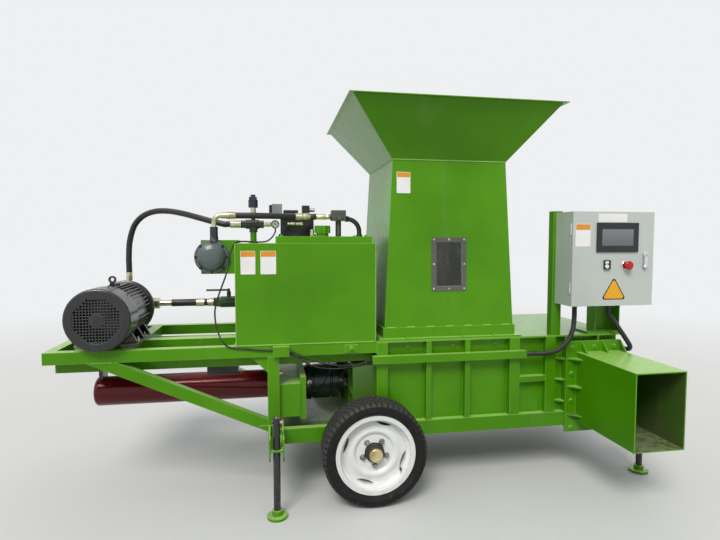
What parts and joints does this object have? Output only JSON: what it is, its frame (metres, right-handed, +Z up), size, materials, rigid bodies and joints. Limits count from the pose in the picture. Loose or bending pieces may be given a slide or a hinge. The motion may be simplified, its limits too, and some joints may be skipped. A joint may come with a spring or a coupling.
{
  "type": "trailer mounted hydraulic square baler",
  "caption": "Hydraulic square baler on two road wheels: open deck with motor and oil tank, press chamber under a flared hopper, side outlet chute, control cabinet and jack legs.",
  "frame": {"origin": "on the ground, under the middle of the machine's box", "axes": "+X along the machine towards the outlet end, -Y the operator's side with the chute and the cabinet, +Z up"},
  "size_m": [3.296, 2, 2.117],
  "materials": {
    "green_paint": "satin enamel",
    "red_paint": "satin enamel",
    "black_paint": "satin enamel",
    "white_paint": "gloss enamel",
    "cabinet_grey": "powder coat",
    "filter_grey": "satin enamel",
    "block_grey": "phosphated",
    "zinc": "zinc plated",
    "worn_steel": "worn by the crop",
    "tyre": "matt",
    "hose_rubber": "matt",
    "dark_plastic": "matt",
    "window_glass": "clear",
    "control_plastic": "gloss"
  },
  "bodies": {
    "machine": {"deck_side_beam_near": "green_paint", "deck_side_beam_far": "green_paint", "deck_cross_beams": "green_paint", "deck_inner_rails": "green_paint", "under_beams": "green_paint", "brace_near": "green_paint", "brace_far": "green_paint", "bay_post_near": "green_paint", "bay_post_far": "green_paint", "bottom_beam_near": "green_paint", "bottom_beam_far": "green_paint", "bottom_cross_beams": "green_paint", "axle": "black_paint", "chamber_wall_near": "green_paint", "chamber_wall_far": "green_paint", "chamber_liner": "green_paint", "top_plate": "green_paint", "hopper_base": "green_paint", "hopper_shaft": "green_paint", "hopper_flare": "green_paint", "window_frame": "black_paint", "window_pane": "window_glass", "oil_tank": "green_paint", "tank_lid": "green_paint", "filler_cap": "green_paint", "return_filter": "filter_grey", "pressure_fittings": "zinc", "valve_block": "block_grey", "solenoid_valves": "dark_plastic", "motor": "black_paint", "fan_cowl": "black_paint", "bell_housing": "black_paint", "pump": "block_grey", "main_cylinder": "red_paint", "thrust_beam": "green_paint", "eject_cylinder": "red_paint", "chute": "green_paint", "cable_tube": "green_paint", "cabinet_box": "cabinet_grey", "cabinet_stand": "green_paint", "jack_brackets": "green_paint", "pressure_hose": "hose_rubber", "return_hose": "hose_rubber", "suction_line": "hose_rubber", "cable_conduit": "dark_plastic"},
    "wheel_near": {"tyre_near": "tyre", "rim_near": "white_paint", "hub_near": "black_paint"},
    "wheel_far": {"tyre_far": "tyre", "rim_far": "white_paint", "hub_far": "black_paint"},
    "cabinet_door": {"cabinet_door": "cabinet_grey", "touch_screen": "dark_plastic", "door_controls": "control_plastic"},
    "ram": {"ram": "worn_steel"},
    "ejector": {"eject_ram": "worn_steel"},
    "jack_left_near": {"jack_left_near": "black_paint"},
    "jack_left_far": {"jack_left_far": "black_paint"},
    "jack_right_near": {"jack_right_near": "black_paint"},
    "jack_right_far": {"jack_right_far": "black_paint"}
  },
  "joints": [
    {"name": "wheel_near_spin", "type": "hinge", "parent": "machine", "child": "wheel_near", "pos_m": [-0.027, -0.6125, 0.274], "axis": [0, 1, 0], "continuous": true},
    {"name": "wheel_far_spin", "type": "hinge", "parent": "machine", "child": "wheel_far", "pos_m": [-0.027, 0.4125, 0.274], "axis": [0, 1, 0], "continuous": true},
    {"name": "cabinet_door_hinge", "type": "hinge", "parent": "machine", "child": "cabinet_door", "pos_m": [1.058, -0.642, 1.271], "axis": [0, 0, -1], "range_deg": [0, 110]},
    {"name": "ram_slide", "type": "slide", "parent": "machine", "child": "ram", "axis": [1, 0, 0], "range_m": [0, 1.04]},
    {"name": "eject_slide", "type": "slide", "parent": "machine", "child": "ejector", "axis": [0, -1, 0], "range_m": [0, 0.64]},
    {"name": "jack_left_near_slide", "type": "slide", "parent": "machine", "child": "jack_left_near", "axis": [0, 0, 1], "range_m": [0, 0.23]},
    {"name": "jack_left_far_slide", "type": "slide", "parent": "machine", "child": "jack_left_far", "axis": [0, 0, 1], "range_m": [0, 0.23]},
    {"name": "jack_right_near_slide", "type": "slide", "parent": "machine", "child": "jack_right_near", "axis": [0, 0, 1], "range_m": [0, 0.23]},
    {"name": "jack_right_far_slide", "type": "slide", "parent": "machine", "child": "jack_right_far", "axis": [0, 0, 1], "range_m": [0, 0.23]}
  ]
}
